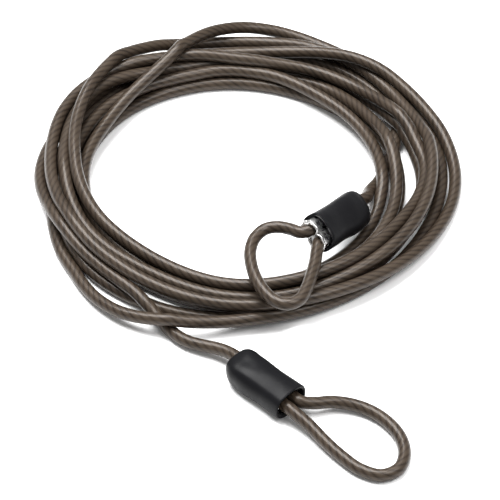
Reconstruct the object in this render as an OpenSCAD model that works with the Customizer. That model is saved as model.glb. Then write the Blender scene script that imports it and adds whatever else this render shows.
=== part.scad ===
// Double-loop security cable: a steel wire rope in a vinyl jacket, wound in a loose coil, with a crimped eye and a
// moulded boot at each end. Millimetres, +Z up. It lies on z = 0 with its footprint centred on the origin.

/* [Cable] */
// Outer diameter of the vinyl jacket
cable_d = 5; // [4:0.1:6]
// Diameter of the wire rope inside the jacket
rope_d = 3; // [2:0.1:3.6]
// Play of the rope in the jacket's bore, across the diameter
rope_play = 0.2; // [0.1:0.05:0.4]
// Clear gap between two strands that touch or cross
strand_gap = 0.5; // [0.45:0.05:1]

/* [Coil] */
// Mean radius of the coil's loops
coil_radius = 67; // [60:1:110]
// Rings of the swept cable in one loop
loop_rings = 24; // [24:12:48]
// Sides of the swept cable
coil_sides = 6; // [6:1:10]

/* [Ferrules] */
// Length of the crimped sleeve
ferrule_len = 20; // [12:1:24]
// Wall round the two bores
ferrule_wall = 1; // [0.6:0.1:1.2]
// Web between the two bores
ferrule_web = 0.6; // [0.4:0.1:1]
// Play of the cable in its bore, across the diameter
bore_play = 0.1; // [0.05:0.05:0.3]
// Number of crimp grooves across each flat
crimps = 3; // [1:1:4]
// Depth of a crimp groove
crimp_depth = 0.4; // [0.2:0.1:0.5]
// Radius of the jaw that pressed the groove
crimp_radius = 2.5; // [1.5:0.5:4]

/* [Boots] */
// How far the boot reaches back past the ferrule
boot_nose = 8; // [5:0.5:12]
// Wall of the boot beside the ferrule
boot_side = 1.6; // [1.2:0.1:2.4]
// Wall of the boot above and below the ferrule
boot_crown = 2.4; // [1.4:0.1:3]
// How far the ferrule sits back from the boot's mouth
mouth_depth = 3; // [1:0.5:5]
// Play of the ferrule in the boot, across its width
boot_play = 0.2; // [0.1:0.05:0.4]
// Length over which the boot's closed end rounds off
boot_taper = 7; // [4:0.5:8]
// Wall of the closed end beside the two bores
boot_end_side = 0.2; // [0:0.1:1]
// Wall of the closed end above and below the bores
boot_end_crown = 1.75; // [1:0.05:2.5]

/* [Ends] */
// Direction in which the front eye points, in degrees from +X
front_heading = -44; // [-60:1:-20]
// Direction in which the rear eye points, in degrees from +X
rear_heading = -126; // [-135:1:-120]
// Climb of the rear boot towards its mouth, in degrees
rear_pitch = 18; // [12:1:24]
// Tilt of the rear boot about its own length, in degrees
rear_roll = -40; // [-60:5:0]

/* [Hidden] */
$fn = 48;

// Each row is one loop of the coil, anticlockwise from +X with a station every 30 degrees. A lane is how far out
// from the mean radius the strand lies, in pitches of one cable and one gap.
LANES = [
    [-2.25, 0.25, 1, 1, 1, 1.25, 2, 3.25, 5, 3.25, 2.25, 2],
    [2, 2, 2.5, 3, -0.5, -1, -0.25, 0.25, 0.25, 0.5, 0.25, -0.5],
    [-1.5, -2, -1.5, -1.5, -0.75, 0.25, 1, 1, 1.25, 1.5, 0, -0.5],
    [-1.25, -2.25, -2.75, -2.5, -1.75, -0.75, 0, 0, -0.5, -0.5, -1, -1.75],
    [-2.5, -3, -3, -2, -1.25, 0, 1, 2.75, 3, 2.5, 1.25, 0.75],
    [0.5, -0.5, -0.5, -0.75, -0.5, 1.25, 1.25, 1.25, 1, 1.5, 1.5, 1.5],
    [1.25, 1, 1.5, 2, 2, 1.25, 0.5, 0.25, 0, 0.75, 0.75, 0.5],
    [0.75, -0.5, -1, -1.5, 0.25, 2.25, 2.25, 2.25, 2.25, 2.5, 2.5, 2.75],
    [3, 2, 1, 0.25, 0.75, 1.5, 3, 2.75, 3.25, 7.75, 10, 10]
];
// The order in which the strands were dropped: where two of them meet, the higher number lies on top.
ORDER = [
    [0, 0, 0, 0, 0, 0, 0, 0, 3.8, 3.8, 3.8, 3.8],
    [0.5, 0.5, 8.5, 10, 10, 10, 2.5, 2.5, 2.5, 2.5, 2.5, 2.5],
    [2, 2, 2, 2, 2, 2, 2, 2, 2, 2, 2, 2],
    [1, 1, 1, 1, 1, 1, 1, 1, 1, 1, 1, 1],
    [3, 3, 3, 3, 3, 3, 3, 3, 3, 3, 3, 3],
    [4, 4, 4, 4, 4, 4, 4, 4, 4, 4, 4, 8.5],
    [8.5, 8, 8, 8, 8, 8, 8, 8, 8, 8, 8, 8],
    [7, 7, 7, 7, 7, 7, 7, 7, 7, 7, 7, 7],
    [9, 9, 9, 7, 3.5, 3.5, 3.5, 3.5, 3.5, 3.5, 3.5, 3.5]
];
LEAD_IN = [-3.5];    // lanes of the rear lead at the stations before the coil starts, all dropped first
STATIONS = 12;      // stations in one loop
LAST_STATION = 8;   // station of the last loop where the front lead leaves the coil
LEAD_OUT = 1;       // stations past it that the piling still counts
PILE_SUB = 4;       // points between two rings at which strands are compared
PILE_ROUNDS = 40;   // most rounds that the pile is given to settle

// Mouths of the two boots: the angle round the coil, and the lane
FRONT_MOUTH = [-82.7, 11.5];
REAR_MOUTH = [-62, -1.5];
REAR_MOUTH_LIFT = 3.3; // height of the rear mouth's middle above a strand on the ground, in pitches

// Each eye's cable from its lead's side round to its dead end: ahead of the mouth, across it, and above it
FRONT_EYE = [
    [5.5, 6, 0], [9.5, 12, -0.4], [15.5, 17, -1], [23.5, 20, -1.6], [32, 20.2, -2.4], [40.5, 17.7, -3.2],
    [47, 12.5, -3.8], [50.2, 5.5, -4], [48, -1, -4], [40.5, -4.5, -4], [31, -4.8, -3.8], [21.5, -4, -3],
    [12, -2.8, -1.6]
];
REAR_EYE = [
    [4.8, -4.6, 3.2], [5.2, -9.6, 3.5], [6.3, -14.4, 3.4], [9.4, -18.3, 3.2], [15.4, -19.3, 2.9], [22.2, -16.8, 2.6],
    [27.9, -12.2, 2.3], [33, -6.1, 2], [36.5, 0.3, 1.9], [38.2, 6.4, 2], [37, 11.4, 2.2], [32.6, 13.8, 2.7],
    [26.4, 12.8, 3.4], [19.5, 10.3, 4.2], [12.4, 7.2, 4.7], [7, 4.2, 2.4]
];
EYE_STEPS = 2;      // rings between two points of an eye
EYE_SIDES = 8;      // sides of a lead and an eye

pitch = cable_d + strand_gap;
seat = cable_d * 0.4;                   // height of a centre line whose underside is cut flat by a tenth
leg = cable_d + ferrule_web;            // distance between the two bores of a ferrule
ferrule_w = leg + cable_d + 2 * ferrule_wall;
ferrule_h = cable_d + 2 * ferrule_wall;
boot_w = ferrule_w + boot_play + 2 * boot_side;
boot_h = ferrule_h + boot_play + 2 * boot_crown;
pocket = mouth_depth + ferrule_len;     // depth of the boot's pocket
boot_len = pocket + boot_nose;
boot_end_w = leg + cable_d + 2 * boot_end_side;
boot_end_h = cable_d + 2 * boot_end_crown;
run = cable_d;                          // straight run at each end of a swept cable

// Each crimped end: middle of its mouth, mouth's height, heading, climb, tilt, and the side of its lead
FRONT = [place_at(FRONT_MOUTH), boot_h / 2, front_heading, 0, 0, 1];
REAR = [place_at(REAR_MOUTH), seat + REAR_MOUTH_LIFT * pitch, rear_heading, rear_pitch, rear_roll, -1];
function place_at(spot) = (coil_radius + spot[1] * pitch) * [cos(spot[0]), sin(spot[0])];

// ---- small helpers ----
function unit(v) = v / norm(v);
function held(list, i) = list[max(0, min(len(list) - 1, i))];
function curve(a, b, c, d, t) = b + t / 2 * (c - a + t * (2 * a - 5 * b + 4 * c - d + t * (3 * (b - c) + d - a)));
function flat(rows) = [for (row = rows) each row];
function column(points, axis) = [for (p = points) p[axis]];

// ---- the pile: lanes and order give each strand the height at which it rests on those below ----
// Ring 0 is the first station of the lead-in, and the coil runs from ring coil_first to ring coil_last.
lanes = concat(LEAD_IN, flat(LANES));
order = concat([for (lane = LEAD_IN) 0], flat(ORDER));
ring_step = 360 / loop_rings;
per_ring = STATIONS / loop_rings;
coil_first = len(LEAD_IN) / per_ring;
coil_last = coil_first + (len(LANES) - 1) * loop_rings + LAST_STATION / per_ring;
pile_last = coil_last + LEAD_OUT / per_ring;
sample_count = pile_last * PILE_SUB + 1;

function lane_at(ring) =
    let (s = ring * per_ring, i = floor(s))
    curve(held(lanes, i - 1), held(lanes, i), held(lanes, i + 1), held(lanes, i + 2), s - i);
function order_at(ring) =
    let (s = ring * per_ring, i = floor(s))
    held(order, i) + (held(order, i + 1) - held(order, i)) * (s - i);

sample_lane = [for (a = [0 : sample_count - 1]) lane_at(a / PILE_SUB)];
sample_order = [for (a = [0 : sample_count - 1]) order_at(a / PILE_SUB)];
sample_slant = [
    for (a = [0 : sample_count - 1])
        let (
            b = max(0, a - 1),
            c = min(sample_count - 1, a + 1),
            swept = (c - b) * ring_step / PILE_SUB * PI / 180
        )
        atan((sample_lane[c] - sample_lane[b]) * pitch / swept / (coil_radius + sample_lane[a] * pitch))
];

// For each sample, the samples that it lies on and how far above their centre lines, in pitches
sample_rests = [
    for (a = [0 : sample_count - 1]) [
        for (b = [a % (loop_rings * PILE_SUB) : loop_rings * PILE_SUB : sample_count - 1])
            if (b != a && sample_order[b] < sample_order[a])
                let (
                    turn = sample_slant[a] - sample_slant[b],
                    apart = abs(sample_lane[a] - sample_lane[b]) * cos(turn)
                )
                if (apart < 1) [b, sqrt(1 - apart * apart)]
    ]
];

function height_at(heights, ring) =
    let (i = floor(ring))
    held(heights, i) + (held(heights, i + 1) - held(heights, i)) * (ring - i);
function needed(heights) = [
    for (rests = sample_rests)
        max([0, for (rest = rests) height_at(heights, rest[0] / PILE_SUB) + rest[1]])
];
function lifted(need) = [
    for (i = [0 : pile_last])
        max([for (a = [(i - 1) * PILE_SUB + 1 : (i + 1) * PILE_SUB - 1]) held(need, a)])
];
function settled(heights, rounds) =
    let (
        next = lifted(needed(heights)),
        moved = max([for (i = [0 : pile_last]) abs(next[i] - heights[i])])
    )
    rounds == 0 || moved < 0.0001 ? next : settled(next, rounds - 1);
heights = settled([for (i = [0 : pile_last]) 0], PILE_ROUNDS);

function coil_point(ring) =
    let (radius = coil_radius + lane_at(ring) * pitch, angle = (ring - coil_first) * ring_step)
    [radius * cos(angle), radius * sin(angle), seat + height_at(heights, ring) * pitch];

// ---- routes, seen from the coil's centre ----
function ahead(end, p) =
    let (h = end[2])
    [end[0][0] + p[0] * cos(h) - p[1] * sin(h), end[0][1] + p[0] * sin(h) + p[1] * cos(h), end[1] + p[2]];
// A point on the boot's own axis: x from the mouth towards the eye, on one of the two legs
function on_axis(end, x, side) =
    let (across = side * leg / 2 * cos(end[4]), above = side * leg / 2 * sin(end[4]), climb = end[3])
    ahead(end, [x * cos(climb) - above * sin(climb), across, x * sin(climb) + above * cos(climb)]);
function smooth(points, steps) = [
    for (i = [0 : len(points) - 2], k = [0 : steps - 1])
        curve(held(points, i - 1), points[i], points[i + 1], held(points, i + 2), k / steps),
    points[len(points) - 1]
];

// The coil's ends run straight on, out of it
coil_in = run * unit(coil_point(coil_first) - coil_point(coil_first + 1));
coil_out = run * unit(coil_point(coil_last) - coil_point(coil_last - 1));
coil_line = [
    coil_point(coil_first) + coil_in,
    for (i = [coil_first : coil_last]) coil_point(i),
    coil_point(coil_last) + coil_out
];
// A lead runs straight out of its boot, past some points of the pile's course, and straight on to the coil
function lead_line(end, rings, last, out) = [
    on_axis(end, -mouth_depth, end[5]),
    on_axis(end, -boot_len - run, end[5]),
    for (ring = rings) coil_point(ring),
    last + out,
    last
];
front_lead_line = lead_line(FRONT, [coil_last + 1, coil_last + 0.5], coil_line[len(coil_line) - 1], coil_out);
rear_lead_line = lead_line(REAR, [coil_first - 1], coil_line[0], coil_in);

function eye_line(end, points) = [
    on_axis(end, -mouth_depth, end[5]),
    each smooth([
        on_axis(end, run - mouth_depth, end[5]),
        for (p = points) ahead(end, p),
        on_axis(end, run - mouth_depth, -end[5])
    ], EYE_STEPS),
    on_axis(end, -mouth_depth, -end[5]),
    on_axis(end, -pocket, -end[5])
];
front_eye_line = eye_line(FRONT, FRONT_EYE);
rear_eye_line = eye_line(REAR, REAR_EYE);

footprint = concat(coil_line, front_eye_line, rear_eye_line);
function middle_of(axis) = (min(column(footprint, axis)) + max(column(footprint, axis))) / 2;
shift = [-middle_of(0), -middle_of(1), 0];

// ---- least gap, measured between points along the cable ----
function near_gap(points, a) =
    min([
        for (m = [loop_rings * PILE_SUB : loop_rings * PILE_SUB : len(points) - 1], k = [-4 : 4])
            if (a + m + k < len(points)) norm(points[a] - points[a + m + k]),
        cable_d + 2 * coil_radius
    ]) - cable_d;
coil_fine = [for (a = [0 : sample_count - 1]) coil_point(a / PILE_SUB)];
coil_gap = min([for (a = [0 : len(coil_fine) - loop_rings * PILE_SUB]) near_gap(coil_fine, a)]);
function line_gap(line) = min([for (p = smooth(line, 2), q = coil_fine) norm(p - q)]) - cable_d;
echo(str("Least gap of the coil to itself: ", coil_gap, " mm"));
echo(str("Least gap of the front eye to the coil: ", line_gap(front_eye_line), " mm"));
echo(str("Least gap of the rear eye to the coil: ", line_gap(rear_eye_line), " mm"));
function path_length(line) = length_to(line, len(line) - 1);
function length_to(line, i) = i == 0 ? 0 : norm(line[i] - line[i - 1]) + length_to(line, i - 1);
cable_len = path_length(coil_line) + path_length(front_lead_line) + path_length(rear_lead_line)
    + path_length(front_eye_line) + path_length(rear_eye_line);
echo(str("Length of the cable: ", cable_len, " mm, highest strand at ", max(column(coil_line, 2)), " mm"));
echo(str("Coil's centre at ", shift));

// ---- swept cable ----
function heading(line, i) =
    unit(unit(held(line, i + 1) - line[max(0, min(i, len(line) - 2))])
        + unit(line[min(len(line) - 1, max(i, 1))] - held(line, i - 1)));
// One ring of corners round point i, with a flat side below that never dips under the ground
function ring_of(line, i, d, sides) =
    let (
        along = heading(line, i),
        across = unit(cross(along, [0, 0, 1])),
        above = cross(across, along)
    )
    [
        for (k = [0 : sides - 1])
            let (
                angle = 360 * (k + 0.5) / sides - 90,
                p = line[i] + d / 2 * (cos(angle) * across + sin(angle) * above)
            )
            [p[0], p[1], max(p[2], 0)]
    ];
function rings_of(line, d, sides) = [for (i = [0 : len(line) - 1]) each ring_of(line, i, d, sides)];
// Two triangles between corners k and k + 1 of two rings that start at a and b
function strip(a, b, sides) = [
    for (k = [0 : sides - 1])
        let (n = (k + 1) % sides)
        each [[a + k, b + k, b + n], [a + k, b + n, a + n]]
];
function reversed(faces) = [for (f = faces) [f[2], f[1], f[0]]];
function skin(first, rings, sides) = [
    for (i = [0 : rings - 2]) each strip(first + i * sides, first + (i + 1) * sides, sides)
];
function cap(first, sides) = [for (k = [1 : sides - 2]) [first, first + k, first + k + 1]];

module rod(line, d, sides) {
    last = (len(line) - 1) * sides;
    polyhedron(
        rings_of(line, d, sides),
        concat(reversed(skin(0, len(line), sides)), reversed(cap(0, sides)), cap(last, sides))
    );
}

module hose(line, d, bore, sides) {
    inner = len(line) * sides;
    last = (len(line) - 1) * sides;
    polyhedron(
        concat(rings_of(line, d, sides), rings_of(line, bore, sides)),
        concat(
            reversed(skin(0, len(line), sides)),
            skin(inner, len(line), sides),
            strip(0, inner, sides),
            reversed(strip(last, inner + last, sides))
        )
    );
}

module jacket(line, sides) {
    color("#6b6257") translate(shift) hose(line, cable_d, rope_d + rope_play, sides);
}

module rope(line, sides) {
    color("#b8b8b4") translate(shift) rod(line, rope_d, sides);
}

// ---- ferrules and boots ----
module at_end(end) {
    translate(shift + [end[0][0], end[0][1], end[1]])
        rotate([end[4], -end[3], end[2]])
            children();
}

// A bar along X with an oval section, w across and h high
module oval_bar(from, to, w, h) {
    translate([from, 0, 0])
        rotate([90, 0, 90])
            linear_extrude(to - from)
                union() {
                    square([w - h, h], center = true);
                    for (side = [-1, 1]) translate([side * (w - h) / 2, 0]) circle(d = h);
                }
}

module leg_bore(side, from, to) {
    translate([from, side * leg / 2, 0]) rotate([0, 90, 0]) cylinder(h = to - from, d = cable_d + bore_play);
}

module ferrule(end) {
    cut = 1; // how far a cutter passes the faces that it opens
    color("#c9c9c6") at_end(end) difference() {
        oval_bar(-pocket, -mouth_depth, ferrule_w, ferrule_h);
        for (side = [-1, 1]) leg_bore(side, -pocket - cut, cut - mouth_depth);
        for (i = [1 : crimps], side = [-1, 1])
            translate([-pocket + i * ferrule_len / (crimps + 1), 0, side * (ferrule_h / 2 + crimp_radius - crimp_depth)])
                rotate([90, 0, 0])
                    cylinder(h = ferrule_w + cut, r = crimp_radius, center = true);
    }
}

module boot(end) {
    cut = 1;
    slice = 0.1; // thickness of a section that the outer shape is stretched over
    rear = boot_len - boot_taper;
    color("#1d1d20") at_end(end) difference() {
        hull() {
            oval_bar(-rear, 0, boot_w, boot_h);
            oval_bar(-rear - boot_taper * 0.6, -rear, boot_w - (boot_w - boot_end_w) * 0.4,
                     boot_h - (boot_h - boot_end_h) * 0.4, $fn = 32);
            oval_bar(-boot_len, slice - boot_len, boot_end_w, boot_end_h, $fn = 32);
        }
        oval_bar(-pocket, cut, ferrule_w + boot_play, ferrule_h + boot_play);
        leg_bore(end[5], -boot_len - cut, cut - pocket);
    }
}

module coil_jacket() {
    jacket(coil_line, coil_sides);
}

module coil_rope() {
    rope(coil_line, coil_sides);
}

module front_lead_jacket() {
    jacket(front_lead_line, EYE_SIDES);
}

module front_lead_rope() {
    rope(front_lead_line, EYE_SIDES);
}

module front_eye_jacket() {
    jacket(front_eye_line, EYE_SIDES);
}

module front_eye_rope() {
    rope(front_eye_line, EYE_SIDES);
}

module rear_lead_jacket() {
    jacket(rear_lead_line, EYE_SIDES);
}

module rear_lead_rope() {
    rope(rear_lead_line, EYE_SIDES);
}

module rear_eye_jacket() {
    jacket(rear_eye_line, EYE_SIDES);
}

module rear_eye_rope() {
    rope(rear_eye_line, EYE_SIDES);
}

module front_ferrule() {
    ferrule(FRONT);
}

module rear_ferrule() {
    ferrule(REAR);
}

module front_boot() {
    boot(FRONT);
}

module rear_boot() {
    boot(REAR);
}

coil_jacket();
coil_rope();
front_lead_jacket();
front_lead_rope();
front_eye_jacket();
front_eye_rope();
rear_lead_jacket();
rear_lead_rope();
rear_eye_jacket();
rear_eye_rope();
front_ferrule();
rear_ferrule();
front_boot();
rear_boot();
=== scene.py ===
"""Looks of a double-loop security cable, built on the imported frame.

The cable is one length: it starts in the front ferrule, goes round the front eye, back through the front boot, round
the coil, and through the rear boot round the rear eye. Everything is in metres, in the frame's own axes.
"""

import logging
import math
from collections.abc import Callable
from dataclasses import dataclass, field
from enum import Enum

import bmesh
import bpy
import numpy as np
from mathutils import Matrix, Vector, noise


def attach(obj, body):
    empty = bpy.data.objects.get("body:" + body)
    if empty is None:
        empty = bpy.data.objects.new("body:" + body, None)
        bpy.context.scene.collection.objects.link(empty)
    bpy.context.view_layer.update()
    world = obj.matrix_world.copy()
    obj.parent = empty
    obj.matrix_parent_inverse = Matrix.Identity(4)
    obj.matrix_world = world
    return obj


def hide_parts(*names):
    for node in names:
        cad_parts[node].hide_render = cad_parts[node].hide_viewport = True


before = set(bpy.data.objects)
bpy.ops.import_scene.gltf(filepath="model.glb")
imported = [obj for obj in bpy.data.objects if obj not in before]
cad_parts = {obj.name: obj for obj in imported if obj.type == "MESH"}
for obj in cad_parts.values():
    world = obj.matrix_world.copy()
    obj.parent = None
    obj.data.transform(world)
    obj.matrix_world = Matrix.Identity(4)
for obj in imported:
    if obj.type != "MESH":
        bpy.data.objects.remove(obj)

log = logging.getLogger("cable")

MM = 0.001

CABLE_D = 5.0 * MM          # over the vinyl jacket
ROPE_D = 3.0 * MM           # wire rope inside it
STRAND_GAP = 0.5 * MM       # clear gap that the pile keeps between two strands
COIL_RADIUS = 67.0 * MM     # mean radius of the coil, where a lane is 0
LOOP_RINGS = 24             # rings that give the height of a loop
STATIONS = 12               # places in a loop where its lane and order are given, one every 30 degrees
COIL_CENTRE = Vector((0.0, 39.879 * MM, 0.0))
REAR_PROUD = 4.2 * MM       # how far the rear sleeve's bruised end stands out of its boot
REAR_FLARE = 0.1            # how much wider than the sleeve that end is beaten
WELD = 1e-6                 # vertices nearer than this are one
NOISE_SEED = 7              # gives the sleeves and the boots the same crumples on each run

# Lane of each loop at each station, as the cable runs from the rear boot to the front one
LANES = [
    [-2.25, 0.25, 1, 1, 1, 1.25, 2, 3.25, 5, 3.25, 2.25, 2],
    [2, 2, 2.5, 3, -0.5, -1, -0.25, 0.25, 0.25, 0.5, 0.25, -0.5],
    [-1.5, -2, -1.5, -1.5, -0.75, 0.25, 1, 1, 1.25, 1.5, 0, -0.5],
    [-1.25, -2.25, -2.75, -2.5, -1.75, -0.75, 0, 0, -0.5, -0.5, -1, -1.75],
    [-2.5, -3, -3, -2, -1.25, 0, 1, 2.75, 3, 2.5, 1.25, 0.75],
    [0.5, -0.5, -0.5, -0.75, -0.5, 1.25, 1.25, 1.25, 1, 1.5, 1.5, 1.5],
    [1.25, 1, 1.5, 2, 2, 1.25, 0.5, 0.25, 0, 0.75, 0.75, 0.5],
    [0.75, -0.5, -1, -1.5, 0.25, 2.25, 2.25, 2.25, 2.25, 2.5, 2.5, 2.75],
    [3, 2, 1, 0.25, 0.75, 1.5, 3, 2.75, 3.25, 7.75, 10, 10],
]
# Laying order of each loop at each station: the strand with the higher number lies on top
ORDER = [
    [0, 0, 0, 0, 0, 0, 0, 0, 3.8, 3.8, 3.8, 3.8],
    [0.5, 0.5, 8.5, 10, 10, 10, 2.5, 2.5, 2.5, 2.5, 2.5, 2.5],
    [2, 2, 2, 2, 2, 2, 2, 2, 2, 2, 2, 2],
    [1, 1, 1, 1, 1, 1, 1, 1, 1, 1, 1, 1],
    [3, 3, 3, 3, 3, 3, 3, 3, 3, 3, 3, 3],
    [4, 4, 4, 4, 4, 4, 4, 4, 4, 4, 4, 8.5],
    [8.5, 8, 8, 8, 8, 8, 8, 8, 8, 8, 8, 8],
    [7, 7, 7, 7, 7, 7, 7, 7, 7, 7, 7, 7],
    [9, 9, 9, 7, 3.5, 3.5, 3.5, 3.5, 3.5, 3.5, 3.5, 3.5],
]
LEAD_IN = [-3.5]            # lanes ahead of the first loop, next to the rear boot
LAST_STATION = 8            # where the last loop leaves the coil
LEAD_OUT = 1                # stations past it, towards the front boot

# Route points of each eye, in millimetres: ahead of its boot's mouth, across it, and above it
FRONT_EYE = (
    (5.5, 6, 0), (9.5, 12, -0.4), (15.5, 17, -1), (23.5, 20, -1.6), (32, 20.2, -2.4), (40.5, 17.7, -3.2),
    (47, 12.5, -3.8), (50.2, 5.5, -4), (48, -1, -4), (40.5, -4.5, -4), (31, -4.8, -3.8), (21.5, -4, -3),
    (12, -2.8, -1.6),
)
REAR_EYE = (
    (4.8, -4.6, 3.2), (5.2, -9.6, 3.5), (6.3, -14.4, 3.4), (9.4, -18.3, 3.2), (15.4, -19.3, 2.9), (22.2, -16.8, 2.6),
    (27.9, -12.2, 2.3), (33, -6.1, 2), (36.5, 0.3, 1.9), (38.2, 6.4, 2), (37, 11.4, 2.2), (32.6, 13.8, 2.7),
    (26.4, 12.8, 3.4), (19.5, 10.3, 4.2), (12.4, 7.2, 4.7), (7, 4.2, 2.4),
)


class Leg(Enum):
    """Which bore of a ferrule the lead runs through, seen towards the eye."""

    LEFT = 1
    RIGHT = -1


@dataclass(frozen=True)
class Crimp:
    """Sizes that both crimped ends share."""

    leg: float = 5.6 * MM
    mouth_depth: float = 3.0 * MM
    ferrule_len: float = 20.0 * MM
    ferrule_r: float = 3.55 * MM
    boot_len: float = 31.0 * MM
    boot_w: float = 16.0 * MM
    boot_h: float = 12.0 * MM
    boot_taper: float = 7.0 * MM
    lip: float = 0.9 * MM


CRIMP = Crimp()


@dataclass(frozen=True)
class EndPlace:
    """Where one crimped end lies: the middle of its boot's mouth and the way it points."""

    name: str
    mouth: Vector
    heading: float
    pitch: float
    roll: float
    lead: Leg
    eye: tuple

    def matrix(self) -> Matrix:
        """Turns a point of the end (X towards the eye) into a point of the frame."""
        turn = Matrix.Rotation(math.radians(self.heading), 4, "Z")
        climb = Matrix.Rotation(math.radians(-self.pitch), 4, "Y")
        tilt = Matrix.Rotation(math.radians(self.roll), 4, "X")
        return Matrix.Translation(self.mouth) @ turn @ climb @ tilt

    def on_axis(self, x: float, side: int) -> Vector:
        """A point of one leg.

        Args:
            x: distance from the mouth towards the eye.
            side: 1 for the left leg, -1 for the right one.

        Returns:
            The point in the frame.
        """
        return self.matrix() @ Vector((x, side * CRIMP.leg / 2, 0.0))

    def ahead(self, point: tuple) -> Vector:
        """A route point of the eye, given in millimetres on the level, as a point of the frame."""
        turn = Matrix.Rotation(math.radians(self.heading), 4, "Z")
        return self.mouth + turn.to_3x3() @ (Vector(point) * MM)


def mouth(angle: float, lane: float, height: float) -> Vector:
    """Middle of a boot's mouth.

    Args:
        angle: degrees round the coil.
        lane: how far out from the mean radius, in pitches.
        height: height above the ground.

    Returns:
        The point in the frame.
    """
    radius = COIL_RADIUS + lane * (CABLE_D + STRAND_GAP)
    turn = math.radians(angle)
    return COIL_CENTRE + Vector((radius * math.cos(turn), radius * math.sin(turn), height))


FRONT = EndPlace("front", mouth(-82.7, 11.5, 6.0 * MM), -44.0, 0.0, 0.0, Leg.LEFT, FRONT_EYE)
REAR = EndPlace("rear", mouth(-62.0, -1.5, 20.15 * MM), -126.0, 18.0, -40.0, Leg.RIGHT, REAR_EYE)


def curve(a: float, b: float, c: float, d: float, t: float) -> float:
    """The smooth curve through b and c that also heeds a and d, at t between them."""
    return b + t / 2 * (c - a + t * (2 * a - 5 * b + 4 * c - d + t * (3 * (b - c) + d - a)))


@dataclass
class Pile:
    """The coil as it was dropped: each strand rests on the strands below it.

    A lane is how far out from the mean radius a strand lies, in pitches, and the order says which strand lies on top
    where two of them meet. The seat is the height of the lowest strands, sub is how many points of a strand are
    compared between two rings, and the rounds end early once no ring moves by more than still, in pitches.
    """

    pitch: float = CABLE_D + STRAND_GAP
    seat: float = CABLE_D * 0.4
    sub: int = 4
    rounds: int = 40
    still: float = 1e-4
    lanes: list = field(default_factory=lambda: LEAD_IN + [x for row in LANES for x in row])
    order: list = field(default_factory=lambda: [0] * len(LEAD_IN) + [x for row in ORDER for x in row])

    def __post_init__(self) -> None:
        """Works out the rings and settles the heights."""
        self.per_ring = STATIONS / LOOP_RINGS
        self.first = round(len(LEAD_IN) / self.per_ring)
        self.last = self.first + (len(LANES) - 1) * LOOP_RINGS + round(LAST_STATION / self.per_ring)
        self.end = self.last + round(LEAD_OUT / self.per_ring)
        self.heights = self.settle()

    def held(self, values: list, i: int) -> float:
        """The value at i, with the first and last ones held past the ends."""
        return values[max(0, min(len(values) - 1, i))]

    def lane_at(self, ring: float) -> float:
        """Lane of the strand at a ring number."""
        s = ring * self.per_ring
        i = math.floor(s)
        return curve(*(self.held(self.lanes, i + k) for k in (-1, 0, 1, 2)), s - i)

    def order_at(self, ring: float) -> float:
        """Laying order of the strand at a ring number."""
        s = ring * self.per_ring
        i = math.floor(s)
        return self.held(self.order, i) + (self.held(self.order, i + 1) - self.held(self.order, i)) * (s - i)

    def settle(self) -> np.ndarray:
        """Finds how high each ring lies.

        Returns:
            The height of each ring above the seat, in pitches.
        """
        count = self.end * self.sub + 1
        rings = np.arange(count) / self.sub
        lane = np.array([self.lane_at(r) for r in rings])
        order = np.array([self.order_at(r) for r in rings])
        swept = math.radians(360 / LOOP_RINGS) / self.sub
        slant = np.arctan(np.gradient(lane * self.pitch, swept) / (COIL_RADIUS + lane * self.pitch))
        over, under, rise = self.meetings(lane, order, slant)
        heights = np.zeros(self.end + 1)
        numbers = np.arange(self.end + 1)
        for _ in range(self.rounds):
            need = np.zeros(count)
            np.maximum.at(need, over, np.interp(rings, numbers, heights)[under] + np.array(rise))
            lifted = np.array([
                need[max(0, (i - 1) * self.sub + 1):(i + 1) * self.sub].max() for i in numbers
            ])
            if np.abs(lifted - heights).max() < self.still:
                break
            heights = lifted
        return heights

    def meetings(self, lane: np.ndarray, order: np.ndarray, slant: np.ndarray) -> tuple:
        """Finds the places where one strand lies over another.

        Args:
            lane: lane of each point along the coil.
            order: laying order of each point.
            slant: angle of the strand to the round course at each point.

        Returns:
            The numbers of the upper points, those of the lower ones, and the rise between the two, in pitches.
        """
        over, under, rise = [], [], []
        loop = LOOP_RINGS * self.sub
        for a in range(len(lane)):
            for b in range(a % loop, len(lane), loop):
                apart = abs(lane[a] - lane[b]) * math.cos(slant[a] - slant[b])
                if order[b] < order[a] and apart < 1:
                    over.append(a)
                    under.append(b)
                    rise.append(math.sqrt(1 - apart * apart))
        return over, under, rise

    def point(self, ring: float) -> Vector:
        """Centre of the strand at a ring number, in the frame."""
        radius = COIL_RADIUS + self.lane_at(ring) * self.pitch
        angle = math.radians((ring - self.first) * 360 / LOOP_RINGS)
        height = float(np.interp(ring, np.arange(self.end + 1), self.heights))
        return COIL_CENTRE + Vector((radius * math.cos(angle), radius * math.sin(angle),
                                     self.seat + height * self.pitch))


def between(start: np.ndarray, end: np.ndarray, leave: np.ndarray, arrive: np.ndarray, span: float,
            t: float) -> np.ndarray:
    """Point at t on the smooth curve from start to end, a span apart, with the slopes that it leaves and arrives by."""
    return ((1 + 2 * t) * (1 - t) ** 2 * start + t * (1 - t) ** 2 * span * leave
            + t * t * (3 - 2 * t) * end + t * t * (t - 1) * span * arrive)


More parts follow.
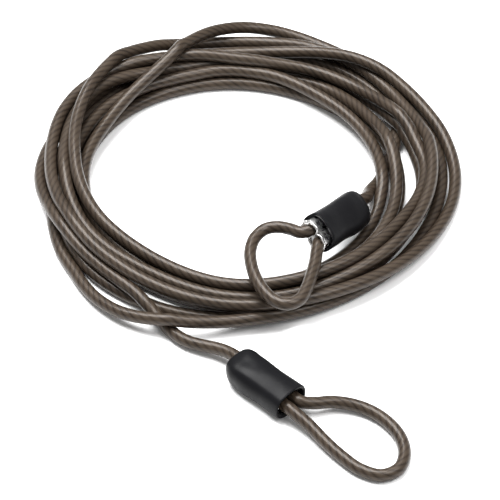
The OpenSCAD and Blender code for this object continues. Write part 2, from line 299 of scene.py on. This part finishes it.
@dataclass
class Route:
    """The centre line of the whole cable, from one dead end to the other."""

    pile: Pile
    step: float = 1.5 * MM      # between two points of the line
    fine: int = 8               # points from one guide point to the next, before they are evened out
    clear: float = 5.04 * MM    # least distance between two centre lines
    reach: float = 9.0 * MM     # how far a strand looks for others
    apart: float = 15.0 * MM    # along the cable, closer points belong to the same strand
    rounds: int = 240
    sink: float = 0.03 * MM     # fall in a round
    sinking: float = 0.7        # share of the rounds in which the cable falls
    refresh: int = 10           # rounds from one look for others to the next
    passes: int = 3             # of evening out and of pushing apart in a round
    ease: float = 0.5           # share of the way to its neighbours' height that a point goes in a pass
    homing: float = 0.15        # share of its sideways shift that a point loses in a round
    overpush: float = 1.6       # how much more than its half a strand is pushed

    def guide(self) -> list:
        """Route points in order, each with whether it is held in a boot."""
        first, last = self.pile.first, self.pile.last
        coil = [self.pile.point(last + 1 - k / 2) for k in range(2 * (last - first) + 5)]
        return [*self.end_points(FRONT), *((p, False) for p in coil), *reversed(self.end_points(REAR))]

    def end_points(self, end: EndPlace) -> list:
        """Route of one end, from its dead end round the eye and out of the back of its boot."""
        side = end.lead.value
        inside, out = -CRIMP.mouth_depth, CABLE_D - CRIMP.mouth_depth
        pocket = inside - CRIMP.ferrule_len
        points = [(end.on_axis(x, -side), True) for x in (pocket, pocket / 2, inside, out)]
        points += [(end.ahead(p), False) for p in reversed(end.eye)]
        points += [(end.on_axis(x, side), True) for x in (out, inside, pocket / 2, pocket, -CRIMP.boot_len)]
        return points + [(end.on_axis(-CRIMP.boot_len - CABLE_D, side), False)]

    def dense(self) -> tuple:
        """Points a step apart along a smooth curve through the guide.

        Returns:
            The points, and for each whether it is held in a boot.
        """
        guide = self.guide()
        p = np.array([tuple(q) for q, _ in guide])
        held = np.array([h for _, h in guide], float)
        reach = np.concatenate([[0], np.cumsum(np.linalg.norm(np.diff(p, axis=0), axis=1))])
        slope = np.empty_like(p)
        slope[1:-1] = self.slopes(p, reach)
        slope[0], slope[-1] = (p[1] - p[0]) / (reach[1] - reach[0]), (p[-1] - p[-2]) / (reach[-1] - reach[-2])
        fine, grip = [], []
        for i in range(len(p) - 1):
            span = reach[i + 1] - reach[i]
            for k in range(self.fine):
                fine.append(between(p[i], p[i + 1], slope[i], slope[i + 1], span, k / self.fine))
                grip.append(held[i] * held[i + 1])
        fine, grip = np.array([*fine, p[-1]]), np.array([*grip, 1.0])
        along = np.concatenate([[0], np.cumsum(np.linalg.norm(np.diff(fine, axis=0), axis=1))])
        at = np.linspace(0, along[-1], int(along[-1] / self.step) + 1)
        points = np.stack([np.interp(at, along, fine[:, k]) for k in range(3)], 1)
        return points, np.interp(at, along, grip) > 0.5

    def slopes(self, p: np.ndarray, reach: np.ndarray) -> np.ndarray:
        """Direction of the curve at each inner guide point, weighted by how near its neighbours are."""
        before, after = np.diff(reach)[:-1, None], np.diff(reach)[1:, None]
        back, on = (p[1:-1] - p[:-2]) / before, (p[2:] - p[1:-1]) / after
        return (back * after + on * before) / (before + after)

    def settle(self) -> np.ndarray:
        """Lets the cable sink until it lies on itself and on the ground, with little sideways movement.

        Returns:
            The settled centre line.
        """
        points, held = self.dense()
        free = ~held
        home = points.copy()
        for k in range(self.rounds):
            if k % self.refresh == 0:
                pairs = self.close_pairs(points)
            if k < self.rounds * self.sinking:
                points[free, 2] -= self.sink
            for _ in range(self.passes):
                middle = points.copy()
                middle[1:-1] = (points[:-2] + points[2:]) / 2
                points[free, 2] += self.ease * (middle[free, 2] - points[free, 2])
            points[free, :2] += self.homing * (home[free, :2] - points[free, :2])
            for _ in range(self.passes):
                self.push_apart(points, pairs, held)
                points[free, 2] = np.maximum(points[free, 2], CABLE_D / 2)
        fall = (home[:, 2] - points[:, 2]) / MM
        a, b = self.close_pairs(points)
        log.info("cable sank by %.2f mm on average, %.2f at most; closest centre lines %.2f mm", fall.mean(),
                 fall.max(), np.linalg.norm(points[a] - points[b], axis=1).min() / MM)
        return points

    def close_pairs(self, points: np.ndarray) -> tuple:
        """Numbers of the points that lie near each other but on different stretches."""
        square = (points ** 2).sum(1)
        a, b = np.nonzero(square[:, None] + square[None, :] - 2 * points @ points.T < self.reach ** 2)
        keep = (b - a) * self.step > self.apart
        return a[keep], b[keep]

    def push_apart(self, points: np.ndarray, pairs: tuple, held: np.ndarray) -> None:
        """Moves strands that lie too close to each other.

        Args:
            points: the centre line, which is changed in place.
            pairs: numbers of the points that may be too close.
            held: for each point, whether a boot holds it still.
        """
        a, b = pairs
        gap = points[a] - points[b]
        dist = np.linalg.norm(gap, axis=1)
        near = dist < self.clear
        a, b, gap, dist = a[near], b[near], gap[near], dist[near]
        push = gap / dist[:, None] * ((self.clear - dist) / 2)[:, None]
        move, count = np.zeros_like(points), np.zeros(len(points))
        for side, sign in ((a, 1), (b, -1)):
            np.add.at(move, side, sign * push)
            np.add.at(count, side, 1)
        points += np.where(held[:, None], 0, self.overpush * move / np.maximum(count, 1)[:, None])


class Nodes:
    """A small writer of shader nodes."""

    NOISE_RANGE = (0.3, 0.7)    # nearly all of the noise lies in it

    def __init__(self, name: str) -> None:
        """Starts an empty material of that name."""
        self.material = bpy.data.materials.new(name)
        self.material.use_nodes = True
        self.tree = self.material.node_tree
        self.tree.nodes.clear()

    def add(self, kind: str, *inputs, **values) -> bpy.types.Node:
        """Adds a node.

        Args:
            kind: node type without the ShaderNode prefix.
            inputs: values or links of its first sockets, in order.
            values: properties of the node, or sockets by name with _ for a space.

        Returns:
            The new node.
        """
        node = self.tree.nodes.new("ShaderNode" + kind)
        for key, value in values.items():
            if key in node.bl_rna.properties:
                setattr(node, key, value)
            else:
                self.fill(node.inputs[key.replace("_", " ")], value)
        for socket, value in zip(node.inputs, inputs):
            self.fill(socket, value)
        return node

    def fill(self, socket: bpy.types.NodeSocket, value: object) -> None:
        """Links a socket, or sets its value."""
        if isinstance(value, bpy.types.NodeSocket):
            self.tree.links.new(value, socket)
        else:
            socket.default_value = value

    def math(self, operation: str, *values) -> bpy.types.NodeSocket:
        """A Math node on numbers or links, and its result."""
        return self.add("Math", *values, operation=operation).outputs[0]

    def noise(self, where: bpy.types.NodeSocket, scale: float, detail: float) -> bpy.types.NodeSocket:
        """Soft noise at points of the frame, in waves per metre."""
        return self.add("TexNoise", Vector=where, Scale=scale, Detail=detail).outputs[0]

    def spread(self, value: bpy.types.NodeSocket, low: float, high: float) -> bpy.types.NodeSocket:
        """Noise stretched to run from low to high."""
        return self.add("MapRange", value, *self.NOISE_RANGE, low, high).outputs[0]

    def bump(self, height: bpy.types.NodeSocket, strength: float, depth: float) -> bpy.types.NodeSocket:
        """Normals tilted by a height, as if its full range were so deep."""
        return self.add("Bump", Strength=strength, Distance=depth, Height=height).outputs[0]

    def ramp(self, factor: bpy.types.NodeSocket, *stops) -> bpy.types.NodeSocket:
        """A colour ramp through (position, colour) stops."""
        node = self.add("ValToRGB", factor)
        elements = node.color_ramp.elements
        while len(elements) < len(stops):
            elements.new(0.5)
        for element, (position, colour) in zip(elements, stops):
            element.position = position
            element.color = (*colour, 1)
        return node.outputs[0]

    def finish(self, shader: bpy.types.Node) -> bpy.types.Material:
        """Links the surface and returns the material."""
        out = self.tree.nodes.new("ShaderNodeOutputMaterial")
        self.tree.links.new(shader.outputs[0], out.inputs["Surface"])
        return self.material


@dataclass(frozen=True)
class Lay:
    """How the rope's strands wind."""

    strands: int = 6
    wires: int = 4
    length: float = 24.0 * MM
    slip: float = 0.35          # turns that the wires lose in a lay length

    def relief(self, n: Nodes, strand_share: float, wire_share: float) -> bpy.types.NodeSocket:
        """Height of the strands and of the wires across them, read from the map "lay".

        Args:
            n: the material to write in.
            strand_share: height of a strand's crown above the hollow beside it.
            wire_share: the same for a wire.

        Returns:
            The link of the height, from 0 to the sum of both shares.
        """
        turns = n.add("SeparateXYZ", n.add("UVMap", uv_map="lay").outputs[0])
        along, around = turns.outputs[0], turns.outputs[1]
        strand = n.math("MULTIPLY", n.math("ADD", along, around), self.strands * math.pi)
        wire = n.math("MULTIPLY", n.math("SUBTRACT", around, n.math("MULTIPLY", along, self.slip)),
                      self.strands * self.wires * math.pi)
        strand, wire = (n.math("ABSOLUTE", n.math("SINE", x)) for x in (strand, wire))
        return n.math("ADD", n.math("MULTIPLY", strand, strand_share), n.math("MULTIPLY", wire, wire_share))


@dataclass(frozen=True)
class VinylFinish:
    """Smoked vinyl with a glossy skin, on which the strands inside are painted as slanting streaks, with painted shade
    in the hollows between them.
    """

    lay: Lay
    # gap is painted shade in the hollows between the strands; body and crown are the lighter streaks of the strands
    gap: tuple = (0.0125, 0.0085, 0.0058)
    body: tuple = (0.028, 0.0197, 0.0137)
    crown: tuple = (0.044, 0.0322, 0.0228)
    stops: tuple = (0.05, 0.38, 0.95)
    cloud_scale: float = 90.0
    cloud: float = 0.22
    ripple_scale: float = 260.0
    metallic: float = 0.2
    roughness: float = 0.42
    specular: float = 0.15
    skin: float = 0.22
    skin_roughness: float = 0.16
    skin_ior: float = 1.4

    def material(self) -> bpy.types.Material:
        """Builds the jacket's material."""
        n = Nodes("smoked_vinyl")
        where = n.add("TexCoord").outputs["Object"]
        depth = self.lay.relief(n, strand_share=0.8, wire_share=0.2)
        clouds = n.spread(n.noise(where, self.cloud_scale, detail=3.0), -self.cloud, self.cloud)
        # painted shade: the colour darkens into the hollows between the strands, following the lay relief
        colour = n.ramp(n.math("ADD", depth, clouds), *zip(self.stops, (self.gap, self.body, self.crown)))
        relief = n.bump(depth, strength=0.25, depth=0.2 * MM)
        ripple = n.bump(n.noise(where, self.ripple_scale, detail=2.0), strength=0.12, depth=0.3 * MM)
        return n.finish(n.add(
            "BsdfPrincipled", Base_Color=colour, Metallic=self.metallic, Roughness=self.roughness, Normal=relief,
            Specular_IOR_Level=self.specular, Coat_Weight=self.skin, Coat_Roughness=self.skin_roughness,
            Coat_IOR=self.skin_ior, Coat_Normal=ripple,
        ))


@dataclass(frozen=True)
class RopeFinish:
    """Galvanised wires, painted darker in the hollows between strands and wires as painted shade."""

    lay: Lay
    bright: tuple = (0.72, 0.69, 0.65)
    # dark is painted shade in the hollows between strands and wires; bright is the wires' own tone
    dark: tuple = (0.12, 0.11, 0.10)
    stops: tuple = (0.1, 0.75)
    metallic: float = 0.9
    roughness: float = 0.34

    def material(self) -> bpy.types.Material:
        """Builds the rope's material."""
        n = Nodes("wire_rope")
        height = self.lay.relief(n, strand_share=0.6, wire_share=0.4)
        bump = n.bump(height, strength=0.6, depth=0.3 * MM)
        # painted shade: darker where the lay relief is low, in the hollows
        colour = n.ramp(height, *zip(self.stops, (self.dark, self.bright)))
        return n.finish(n.add(
            "BsdfPrincipled", Base_Color=colour, Metallic=self.metallic, Roughness=self.roughness, Normal=bump,
        ))


@dataclass(frozen=True)
class BootFinish:
    """Soft black moulded vinyl with a satin skin."""

    colour: tuple = (0.005, 0.005, 0.0058, 1)
    fold_scale: float = 110.0
    grain_scale: float = 1400.0
    grain: float = 0.06
    roughness: tuple = (0.3, 0.42)
    specular: float = 0.07

    def material(self) -> bpy.types.Material:
        """Builds the boots' material."""
        n = Nodes("moulded_boot")
        where = n.add("TexCoord").outputs["Object"]
        folds = n.noise(where, self.fold_scale, detail=2.0)
        grain = n.math("MULTIPLY", n.noise(where, self.grain_scale, detail=3.0), self.grain)
        bump = n.bump(n.math("ADD", grain, folds), strength=0.2, depth=1.0 * MM)
        return n.finish(n.add(
            "BsdfPrincipled", Base_Color=self.colour, Roughness=n.spread(folds, *self.roughness), Normal=bump,
            Specular_IOR_Level=self.specular,
        ))


@dataclass(frozen=True)
class FerruleFinish:
    """Aluminium sleeve, bright where the crimping jaws bruised it."""

    colour: tuple = (0.88, 0.88, 0.87, 1)
    dent_scale: float = 480.0
    roughness: tuple = (0.16, 0.4)

    def material(self) -> bpy.types.Material:
        """Builds the ferrules' material."""
        n = Nodes("crimped_aluminium")
        dents = n.noise(n.add("TexCoord").outputs["Object"], self.dent_scale, detail=4.0)
        bump = n.bump(dents, strength=0.6, depth=0.5 * MM)
        return n.finish(n.add(
            "BsdfPrincipled", Base_Color=self.colour, Metallic=1.0, Roughness=n.spread(dents, *self.roughness),
            Normal=bump,
        ))


def placed(name: str, data: bpy.types.ID) -> bpy.types.Object:
    """A new object of that name in the scene, at the origin."""
    thing = bpy.data.objects.new(name, data)
    bpy.context.collection.objects.link(thing)
    return thing


def publish(bm: bmesh.types.BMesh, name: str, material: bpy.types.Material) -> bpy.types.Object:
    """Turns a finished bmesh into an object of the part.

    Args:
        bm: the mesh, in the frame's axes. It is freed here.
        name: the piece's name.
        material: its material.

    Returns:
        The new object, riding on the part's one body.
    """
    for face in bm.faces:
        face.smooth = True
    mesh = bpy.data.meshes.new(name)
    bm.to_mesh(mesh)
    bm.free()
    mesh.materials.append(material)
    piece = placed(name, mesh)
    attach(piece, "root")
    log.info("%s: %d faces", name, len(mesh.polygons))
    return piece


@dataclass
class Cable:
    """The jacket and the rope, both swept along the same centre line."""

    line: np.ndarray
    lay: Lay = Lay()
    jacket_sides: int = 20
    rope_sides: int = 24
    hollow: float = 0.28 * MM

    def length(self) -> float:
        """Length of the centre line."""
        return float(np.linalg.norm(np.diff(self.line, axis=0), axis=1).sum())

    def sweep(self, sides: int, radius: float, hollow: float, twist: float) -> bmesh.types.BMesh:
        """Rolls a grid round the centre line.

        Args:
            sides: faces round the cable.
            radius: outer radius.
            hollow: depth of the hollows between the strands, 0 for a round tube.
            twist: how much of the lay the grid follows, 0 or 1.

        Returns:
            A closed tube whose map "lay" holds lay lengths along it and turns round it.
        """
        along = np.gradient(self.line, axis=0)
        along /= np.linalg.norm(along, axis=1)[:, None]
        across = np.cross(along, (0.0, 0.0, 1.0))
        across /= np.linalg.norm(across, axis=1)[:, None]
        above = np.cross(across, along)
        lays = self.length() / self.lay.length
        bm = bmesh.new()
        bmesh.ops.create_grid(bm, x_segments=len(self.line) - 1, y_segments=sides, size=1.0)
        uv = bm.loops.layers.uv.new("lay")
        for face in bm.faces:
            for loop in face.loops:
                u, v = (loop.vert.co.x + 1) / 2 * lays, (loop.vert.co.y + 1) / 2
                loop[uv].uv = (u, v - twist * u)
        for vert in bm.verts:
            share, v = (vert.co.x + 1) / 2, (vert.co.y + 1) / 2
            i = round(share * (len(self.line) - 1))
            angle = 2 * math.pi * (v - twist * share * lays)
            r = radius - hollow * (1 - abs(math.sin(math.pi * self.lay.strands * v)))
            vert.co = self.line[i] + r * (math.cos(angle) * across[i] + math.sin(angle) * above[i])
        bmesh.ops.remove_doubles(bm, verts=bm.verts, dist=WELD)
        bmesh.ops.holes_fill(bm, edges=[e for e in bm.edges if e.is_boundary], sides=0)
        bmesh.ops.recalc_face_normals(bm, faces=bm.faces)
        return bm

    def build(self) -> None:
        tube = self.sweep(self.jacket_sides, CABLE_D / 2, 0.0, 0.0)
        jacket = publish(tube, "cable_jacket", VinylFinish(self.lay).material())
        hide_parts("coil_jacket", "front_lead_jacket", "front_eye_jacket", "rear_lead_jacket",
                    "rear_eye_jacket")
        core = self.sweep(self.rope_sides, ROPE_D / 2, self.hollow, 1.0)
        rope = publish(core, "cable_rope", RopeFinish(self.lay).material())
        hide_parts("coil_rope", "front_lead_rope", "front_eye_rope", "rear_lead_rope", "rear_eye_rope")
        tuple(self.line[0])
        self.length()
        [tuple(p) for p in self.line[::2]]


def grow(section: Callable, sides: int, stations: list) -> bmesh.types.BMesh:
    """Grows a closed skin along X, one extruded ring per station.

    Args:
        section: gives the full section's point (y, z) at an angle.
        sides: points round the section.
        stations: (x, share of the width, share of the height) of each ring, from one closed end to the other.

    Returns:
        The closed skin round the X axis.
    """
    bm = bmesh.new()
    bmesh.ops.create_circle(bm, segments=sides, radius=1.0, matrix=Matrix.Rotation(math.pi / 2, 4, "Y"))
    for vert in bm.verts:
        vert.co.yz = section(math.atan2(vert.co.z, vert.co.y))
    last = (0.0, 1.0, 1.0)
    edges = list(bm.edges)
    verts = list(bm.verts)
    ends = []
    for i, (x, w, h) in enumerate(stations):
        if i:
            grown = bmesh.ops.extrude_edge_only(bm, edges=edges)["geom"]
            verts = [g for g in grown if isinstance(g, bmesh.types.BMVert)]
            edges = [g for g in grown if isinstance(g, bmesh.types.BMEdge)]
        bmesh.ops.scale(bm, vec=(1, w / last[1], h / last[2]), verts=verts)
        bmesh.ops.translate(bm, vec=(x - last[0], 0, 0), verts=verts)
        last = (x, w, h)
        if i in (0, len(stations) - 1):
            ends.append(edges)
    for loop in ends:
        bmesh.ops.edgeloop_fill(bm, edges=loop)
    bmesh.ops.recalc_face_normals(bm, faces=bm.faces)
    return bm


@dataclass
class Ferrule:
    """A crimped aluminium sleeve with two barrels, one for each leg of the eye."""

    end: EndPlace
    front: float                    # the open end, ahead of the boot's mouth
    flare: float
    sides: int = 72
    rings: int = 40
    crimps: int = 3
    squeeze: float = 0.06
    wall: float = 0.85 * MM
    sunk: float = 1.2 * MM          # depth of the mouth's dark bottom
    worn: float = 0.3 * MM          # depth at which the bore starts to open
    rounding: float = 0.35 * MM
    chamfer: float = 0.97
    crumple: float = 0.72 * MM
    crumple_reach: float = 3.0 * MM
    crumple_scale: float = 420.0
    crumple_seed: tuple = (7.0, 3.0, 1.0)

    def section(self, angle: float) -> tuple:
        """A point of the double-barrel section."""
        half = CRIMP.leg / 2
        reach = half * abs(math.cos(angle)) + math.sqrt(CRIMP.ferrule_r ** 2 - (half * math.sin(angle)) ** 2)
        return reach * math.cos(angle), reach * math.sin(angle)

    def stations(self) -> list:
        """Rings from the dark bottom of the mouth over the bruised rim to the dead end."""
        bore = 1 - self.wall / CRIMP.ferrule_r
        mouth_shares = ((self.sunk, bore - 0.04), (self.worn, bore), (0.0, bore + 0.06),
                        (0.0, self.chamfer + self.flare), (self.rounding, 1.0 + self.flare))
        rings = [(self.front - depth, share, share) for depth, share in mouth_shares]
        back = -CRIMP.mouth_depth - CRIMP.ferrule_len
        for k in range(1, self.rings):
            t = k / self.rings
            dent = self.squeeze * (0.5 - 0.5 * math.cos(2 * math.pi * self.crimps * t))
            rings.append((self.front + (back - self.front) * t, 1.0 + dent / 3, 1.0 - dent))
        return rings + [(back, self.chamfer, self.chamfer)]

    def build(self) -> None:
        """Makes the ferrule."""
        bm = grow(self.section, self.sides, self.stations())
        for vert in bm.verts:
            near = max(0.0, 1 - (self.front - vert.co.x) / self.crumple_reach)
            shift = noise.noise_vector(vert.co * self.crumple_scale + Vector(self.crumple_seed))
            vert.co += near * self.crumple * shift
        bmesh.ops.transform(bm, matrix=self.end.matrix(), verts=bm.verts)
        piece = publish(bm, f"{self.end.name}_crimp_sleeve", FerruleFinish().material())
        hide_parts(f"{self.end.name}_ferrule")


@dataclass
class Boot:
    """A moulded boot with an open mouth and a rounded back, its skin slack over the ferrule."""

    end: EndPlace
    sides: int = 64
    squareness: float = 2.7
    rings: int = 29
    pocket_rings: tuple = (0.98, 0.75, 0.5, 0.25, 0.12, 0.05)   # shares of the pocket's depth
    lip_rings: tuple = (                                        # millimetres ahead, shares of width and height
        (-0.05, 0.93, 0.91), (0.0, 0.965, 0.95), (-0.1, 0.985, 0.98), (-0.4, 1.0, 1.0),
    )
    swell: float = 0.03             # how much the skin swells over the sleeve's dead end, and thins ahead of it
    swell_spot: tuple = (20, 4)     # millimetres behind the mouth, and its reach
    waist_spot: tuple = (11, 5)
    swell_up: float = 1.6           # how much stronger it is in height
    nose_rings: int = 12
    nose_w: float = 0.42
    nose_h: float = 0.38
    nose_tip: tuple = ((0.1, 0.6), (0.15, 0.2))     # millimetres past the nose, shares of it
    lean: float = 1.1 * MM          # the back leans towards the lead
    lean_start: float = 0.6
    fold: float = 0.35 * MM
    fold_scale: tuple = (90, 150, 150)
    fold_seed: float = 5.0

    def section(self, angle: float) -> tuple:
        """A point of the full section, an oval with fuller corners."""
        c, s = math.cos(angle), math.sin(angle)
        power = 2 / self.squareness
        return (CRIMP.boot_w / 2 * math.copysign(abs(c) ** power, c),
                CRIMP.boot_h / 2 * math.copysign(abs(s) ** power, s))

    def stations(self) -> list:
        """Rings from the pocket's bottom out to the lip, then back over the outside to the nose."""
        pocket = CRIMP.mouth_depth + CRIMP.ferrule_len
        wall_w, wall_h = 1 - 2.9 * CRIMP.lip / CRIMP.boot_w, 1 - 3.6 * CRIMP.lip / CRIMP.boot_h
        rings = [(-pocket * t, wall_w, wall_h) for t in self.pocket_rings]
        rings.append((-0.35 * MM, wall_w + 0.02, wall_h + 0.03))
        rings += [(x * MM, w, h) for x, w, h in self.lip_rings]
        rear = CRIMP.boot_len - CRIMP.boot_taper
        for k in range(1, self.rings + 1):
            x = -rear * k / self.rings
            wave = self.swell * (self.bulge(x, *self.swell_spot) - self.bulge(x, *self.waist_spot))
            rings.append((x, 1 + wave, 1 + self.swell_up * wave))
        return rings + self.nose(rear, *rings[-1][1:])

    def bulge(self, x: float, behind: float, reach: float) -> float:
        """Share of a bulge at x, for one that is so many millimetres behind the mouth and reaches so far."""
        return math.exp(-((x / MM + behind) / reach) ** 2)

    def nose(self, rear: float, start_w: float, start_h: float) -> list:
        """Rings of the rounded back.

        Args:
            rear: where it starts, behind the mouth.
            start_w: share of the width there.
            start_h: share of the height there.

        Returns:
            The rings down to the closed tip.
        """
        rings = []
        for k in range(1, self.nose_rings + 1):
            turn = math.radians(90 * k / self.nose_rings)
            drop = 1 - math.cos(turn)
            rings.append((-rear - CRIMP.boot_taper * math.sin(turn), start_w - (start_w - self.nose_w) * drop,
                          start_h - (start_h - self.nose_h) * drop))
        tip = [(-CRIMP.boot_len - x * MM, self.nose_w * share, self.nose_h * share) for x, share in self.nose_tip]
        return rings + tip

    def build(self) -> None:
        """Makes the boot."""
        bm = grow(self.section, self.sides, self.stations())
        side = self.end.lead.value
        for vert in bm.verts:
            back = max(0.0, min(1.0, (-vert.co.x / CRIMP.boot_len - self.lean_start) / (1 - self.lean_start)))
            spot = Vector([c * scale for c, scale in zip(vert.co, self.fold_scale)])
            slack = noise.noise_vector(spot + Vector((0.0, 0.0, side * self.fold_seed)))
            vert.co.y += self.lean * side * back * back
            vert.co.yz += Vector((slack.y, slack.z)) * self.fold
        bmesh.ops.transform(bm, matrix=self.end.matrix(), verts=bm.verts)
        piece = publish(bm, f"{self.end.name}_boot_skin", BootFinish().material())
        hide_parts(f"{self.end.name}_boot")


@dataclass
class Studio:
    """Floor, lights and camera."""

    lens: float = 292.7
    sensor: float = 36.0
    distance: float = 1613.0 * MM
    elevation: float = 45.0
    aim: Vector = field(default_factory=lambda: COIL_CENTRE + Vector((0.8, -41.2, 0.0)) * MM)
    far: float = 20.0
    floor_half: float = 3.0
    floor_colour: tuple = (0.92, 0.92, 0.92, 1)
    floor_roughness: float = 0.9
    lights: tuple = (               # name, place, size and watts
        ("key", (-0.35, 0.45, 1.5), 1.1, 70.0),
        ("fill", (0.6, -0.3, 1.3), 0.7, 14.0),
    )
    sky: tuple = (1, 1, 1, 1)
    sky_strength: float = 0.5

    def floor(self) -> None:
        """A wide pale floor."""
        bm = bmesh.new()
        bmesh.ops.create_grid(bm, x_segments=1, y_segments=1, size=self.floor_half)
        mesh = bpy.data.meshes.new("floor")
        bm.to_mesh(mesh)
        bm.free()
        n = Nodes("pale_floor")
        shader = n.add("BsdfPrincipled", Base_Color=self.floor_colour, Roughness=self.floor_roughness)
        mesh.materials.append(n.finish(shader))
        floor = placed("floor", mesh)

    def light(self, name: str, place: tuple, size: float, power: float) -> None:
        """A square soft light that faces the object.

        Args:
            name: its name.
            place: where its middle is.
            size: length of a side.
            power: in watts.
        """
        data = bpy.data.lights.new(name, "AREA")
        data.size = size
        data.energy = power
        lamp = placed(name, data)
        lamp.location = place
        lamp.rotation_euler = (-Vector(place)).to_track_quat("-Z", "Y").to_euler()

    def camera(self) -> None:
        """The camera, looking down at the aim point."""
        data = bpy.data.cameras.new("camera")
        data.lens = self.lens
        data.sensor_width = self.sensor
        data.clip_end = self.far
        camera = placed("camera", data)
        down = math.radians(self.elevation)
        camera.location = self.aim + self.distance * Vector((0, -math.cos(down), math.sin(down)))
        camera.rotation_euler = (math.pi / 2 - down, 0, 0)
        bpy.context.scene.camera = camera

    def build(self) -> None:
        """Sets up the whole studio."""
        self.floor()
        self.camera()
        for name, place, size, power in self.lights:
            self.light(name, place, size, power)
        world = bpy.data.worlds.new("world")
        bpy.context.scene.world = world
        world.use_nodes = True
        background = world.node_tree.nodes["Background"]
        background.inputs["Color"].default_value = self.sky
        background.inputs["Strength"].default_value = self.sky_strength
        bpy.context.scene.view_settings.view_transform = "Standard"


def main() -> None:
    """Builds the cable, its two ends and the studio."""
    logging.basicConfig(level=logging.INFO, format="%(message)s")
    noise.seed_set(NOISE_SEED)
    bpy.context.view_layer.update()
    Studio().build()
    route = Route(Pile())
    line = route.settle()
    Cable(line).build()
    for end, front, flare in ((FRONT, -CRIMP.mouth_depth, 0.0), (REAR, REAR_PROUD, REAR_FLARE)):
        Ferrule(end, front, flare).build()
        Boot(end).build()


if __name__ == "__main__":
    main()
